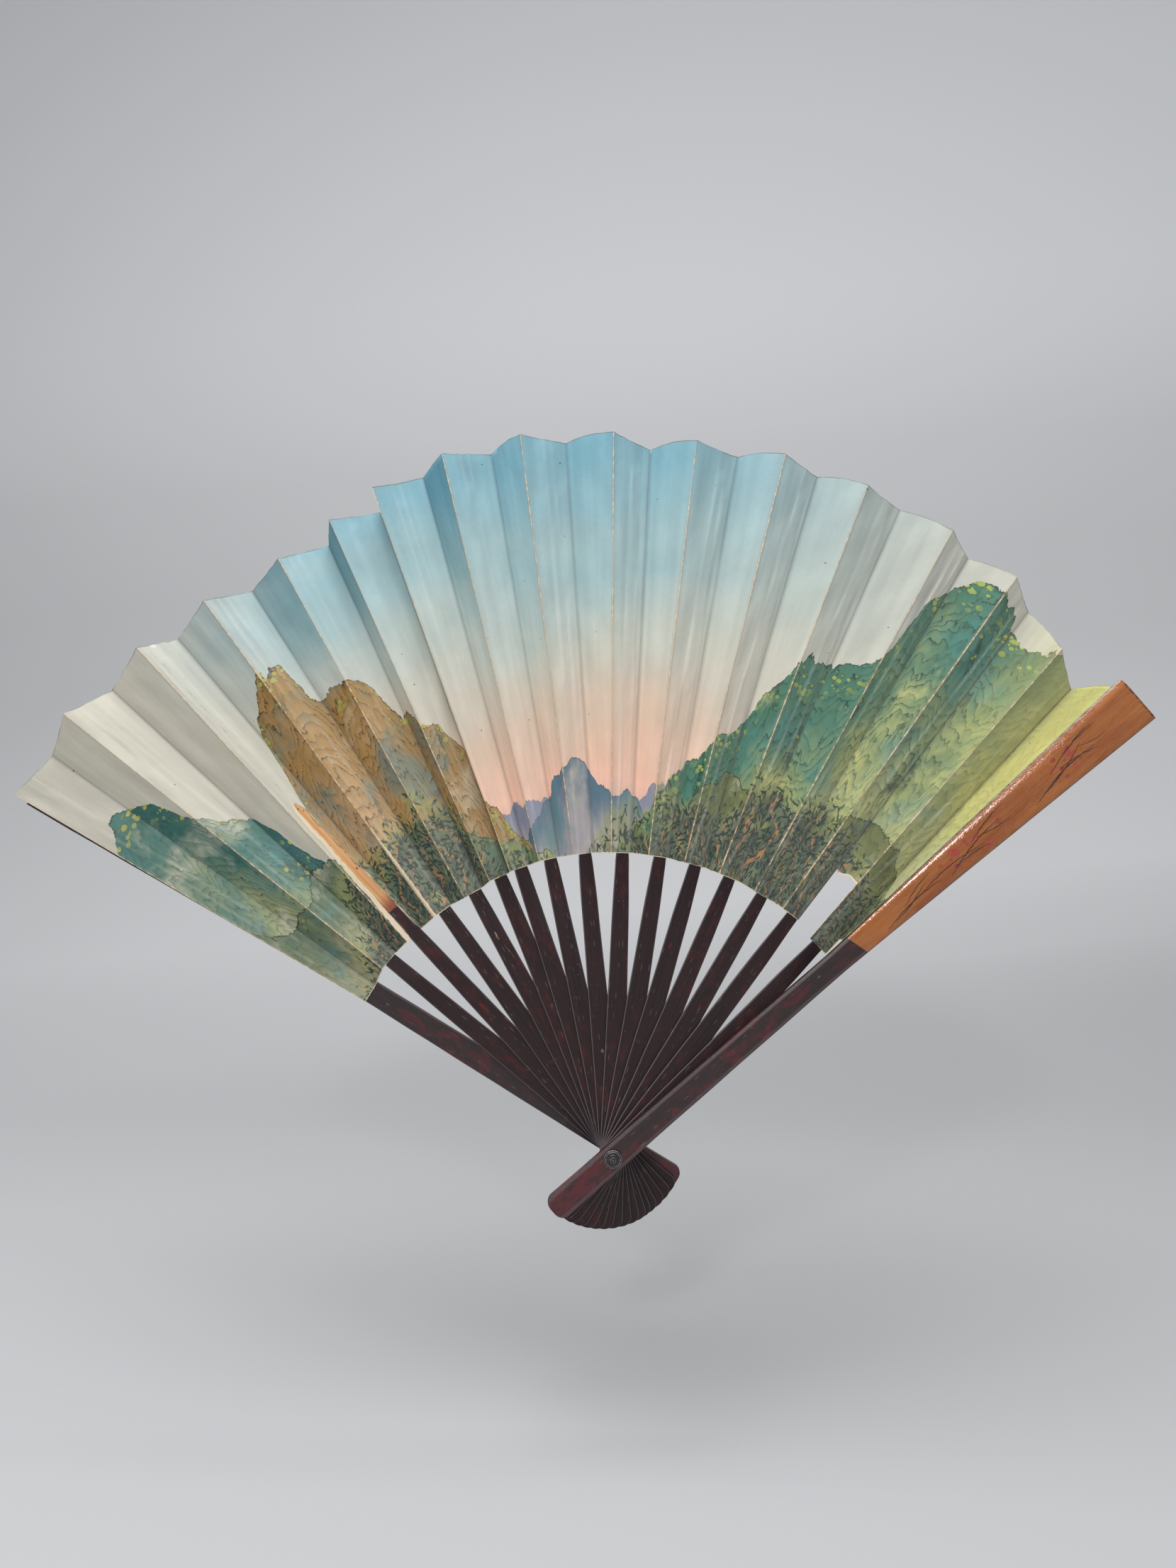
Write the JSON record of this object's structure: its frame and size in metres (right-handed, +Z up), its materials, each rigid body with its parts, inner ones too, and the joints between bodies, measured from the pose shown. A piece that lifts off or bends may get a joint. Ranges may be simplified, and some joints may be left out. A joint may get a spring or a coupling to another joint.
{
  "type": "folding hand fan",
  "caption": "Folding hand fan with lacquered bamboo sticks on a rivet, two flared guards and a pleated paper leaf.",
  "frame": {"origin": "middle of the rivet's flat rear end, on the axis that every stick turns about", "axes": "+X to the viewer's right across the open fan, +Y to its back along the rivet, +Z up, along the middle of the open fan"},
  "size_m": [0.4844, 0.0363, 0.3281],
  "materials": {
    "lacquered_bamboo": "dark maroon-brown lacquer, worn at the edges",
    "varnished_bamboo": "glossy amber varnish above the dark lacquered lower part",
    "printed_paper": "matte printed paper in two layers, worn along the creases",
    "rivet_metal": "dark lacquered metal, worn on the rings"
  },
  "bodies": {
    "rear_stick": {"guard_rear": "varnished_bamboo", "leaf_end_rear": "printed_paper", "rivet_pin": "rivet_metal", "rivet_washer_rear": "rivet_metal", "rivet_washer_front": "rivet_metal"},
    "rib_01_body": {"rib_01": "lacquered_bamboo", "leaf_panel_01": "printed_paper", "leaf_fold_01": "printed_paper"},
    "rib_02_body": {"rib_02": "lacquered_bamboo", "leaf_panel_02": "printed_paper", "leaf_fold_02": "printed_paper"},
    "rib_03_body": {"rib_03": "lacquered_bamboo", "leaf_panel_03": "printed_paper", "leaf_fold_03": "printed_paper"},
    "rib_04_body": {"rib_04": "lacquered_bamboo", "leaf_panel_04": "printed_paper", "leaf_fold_04": "printed_paper"},
    "rib_05_body": {"rib_05": "lacquered_bamboo", "leaf_panel_05": "printed_paper", "leaf_fold_05": "printed_paper"},
    "rib_06_body": {"rib_06": "lacquered_bamboo", "leaf_panel_06": "printed_paper", "leaf_fold_06": "printed_paper"},
    "rib_07_body": {"rib_07": "lacquered_bamboo", "leaf_panel_07": "printed_paper", "leaf_fold_07": "printed_paper"},
    "rib_08_body": {"rib_08": "lacquered_bamboo", "leaf_panel_08": "printed_paper", "leaf_fold_08": "printed_paper"},
    "rib_09_body": {"rib_09": "lacquered_bamboo", "leaf_panel_09": "printed_paper", "leaf_fold_09": "printed_paper"},
    "rib_10_body": {"rib_10": "lacquered_bamboo", "leaf_panel_10": "printed_paper", "leaf_fold_10": "printed_paper"},
    "rib_11_body": {"rib_11": "lacquered_bamboo", "leaf_panel_11": "printed_paper", "leaf_fold_11": "printed_paper"},
    "rib_12_body": {"rib_12": "lacquered_bamboo", "leaf_panel_12": "printed_paper", "leaf_fold_12": "printed_paper"},
    "rib_13_body": {"rib_13": "lacquered_bamboo", "leaf_panel_13": "printed_paper", "leaf_fold_13": "printed_paper"},
    "rib_14_body": {"rib_14": "lacquered_bamboo", "leaf_panel_14": "printed_paper", "leaf_fold_14": "printed_paper"},
    "rib_15_body": {"rib_15": "lacquered_bamboo", "leaf_panel_15": "printed_paper", "leaf_fold_15": "printed_paper"},
    "front_stick": {"guard_front": "varnished_bamboo", "leaf_end_front": "printed_paper", "leaf_fold_16": "printed_paper"}
  },
  "joints": [
    {"name": "fan_opening", "type": "hinge", "parent": "rear_stick", "child": "front_stick", "pos_m": [0, 0, 0], "axis": [0, 1, 0], "range_deg": [-106.8, 0], "deforming": ["leaf_fold_16"]},
    {"name": "rib_01_swing", "type": "hinge", "parent": "rear_stick", "child": "rib_01_body", "pos_m": [0, 0, 0], "axis": [0, 1, 0], "range_deg": [-7.9, 0], "deforming": ["leaf_fold_01"]},
    {"name": "rib_02_swing", "type": "hinge", "parent": "rear_stick", "child": "rib_02_body", "pos_m": [0, 0, 0], "axis": [0, 1, 0], "range_deg": [-15.3, 0], "deforming": ["leaf_fold_02"]},
    {"name": "rib_03_swing", "type": "hinge", "parent": "rear_stick", "child": "rib_03_body", "pos_m": [0, 0, 0], "axis": [0, 1, 0], "range_deg": [-22.8, 0], "deforming": ["leaf_fold_03"]},
    {"name": "rib_04_swing", "type": "hinge", "parent": "rear_stick", "child": "rib_04_body", "pos_m": [0, 0, 0], "axis": [0, 1, 0], "range_deg": [-29.9, 0], "deforming": ["leaf_fold_04"]},
    {"name": "rib_05_swing", "type": "hinge", "parent": "rear_stick", "child": "rib_05_body", "pos_m": [0, 0, 0], "axis": [0, 1, 0], "range_deg": [-35.8, 0], "deforming": ["leaf_fold_05"]},
    {"name": "rib_06_swing", "type": "hinge", "parent": "rear_stick", "child": "rib_06_body", "pos_m": [0, 0, 0], "axis": [0, 1, 0], "range_deg": [-40.2, 0], "deforming": ["leaf_fold_06"]},
    {"name": "rib_07_swing", "type": "hinge", "parent": "rear_stick", "child": "rib_07_body", "pos_m": [0, 0, 0], "axis": [0, 1, 0], "range_deg": [-46.2, 0], "deforming": ["leaf_fold_07"]},
    {"name": "rib_08_swing", "type": "hinge", "parent": "rear_stick", "child": "rib_08_body", "pos_m": [0, 0, 0], "axis": [0, 1, 0], "range_deg": [-53, 0], "deforming": ["leaf_fold_08"]},
    {"name": "rib_09_swing", "type": "hinge", "parent": "rear_stick", "child": "rib_09_body", "pos_m": [0, 0, 0], "axis": [0, 1, 0], "range_deg": [-60.2, 0], "deforming": ["leaf_fold_09"]},
    {"name": "rib_10_swing", "type": "hinge", "parent": "rear_stick", "child": "rib_10_body", "pos_m": [0, 0, 0], "axis": [0, 1, 0], "range_deg": [-67.4, 0], "deforming": ["leaf_fold_10"]},
    {"name": "rib_11_swing", "type": "hinge", "parent": "rear_stick", "child": "rib_11_body", "pos_m": [0, 0, 0], "axis": [0, 1, 0], "range_deg": [-74.3, 0], "deforming": ["leaf_fold_11"]},
    {"name": "rib_12_swing", "type": "hinge", "parent": "rear_stick", "child": "rib_12_body", "pos_m": [0, 0, 0], "axis": [0, 1, 0], "range_deg": [-81.2, 0], "deforming": ["leaf_fold_12"]},
    {"name": "rib_13_swing", "type": "hinge", "parent": "rear_stick", "child": "rib_13_body", "pos_m": [0, 0, 0], "axis": [0, 1, 0], "range_deg": [-88.2, 0], "deforming": ["leaf_fold_13"]},
    {"name": "rib_14_swing", "type": "hinge", "parent": "rear_stick", "child": "rib_14_body", "pos_m": [0, 0, 0], "axis": [0, 1, 0], "range_deg": [-95.1, 0], "deforming": ["leaf_fold_14"]},
    {"name": "rib_15_swing", "type": "hinge", "parent": "rear_stick", "child": "rib_15_body", "pos_m": [0, 0, 0], "axis": [0, 1, 0], "range_deg": [-102.3, 0], "deforming": ["leaf_fold_15"]}
  ],
  "couplings": [
    {"joint": "rib_01_swing", "follows": "fan_opening", "ratio": 0.07397},
    {"joint": "rib_02_swing", "follows": "fan_opening", "ratio": 0.14326},
    {"joint": "rib_03_swing", "follows": "fan_opening", "ratio": 0.21348},
    {"joint": "rib_04_swing", "follows": "fan_opening", "ratio": 0.27996},
    {"joint": "rib_05_swing", "follows": "fan_opening", "ratio": 0.33521},
    {"joint": "rib_06_swing", "follows": "fan_opening", "ratio": 0.3764},
    {"joint": "rib_07_swing", "follows": "fan_opening", "ratio": 0.43258},
    {"joint": "rib_08_swing", "follows": "fan_opening", "ratio": 0.49625},
    {"joint": "rib_09_swing", "follows": "fan_opening", "ratio": 0.56367},
    {"joint": "rib_10_swing", "follows": "fan_opening", "ratio": 0.63109},
    {"joint": "rib_11_swing", "follows": "fan_opening", "ratio": 0.69569},
    {"joint": "rib_12_swing", "follows": "fan_opening", "ratio": 0.7603},
    {"joint": "rib_13_swing", "follows": "fan_opening", "ratio": 0.82584},
    {"joint": "rib_14_swing", "follows": "fan_opening", "ratio": 0.89045},
    {"joint": "rib_15_swing", "follows": "fan_opening", "ratio": 0.95787}
  ]
}
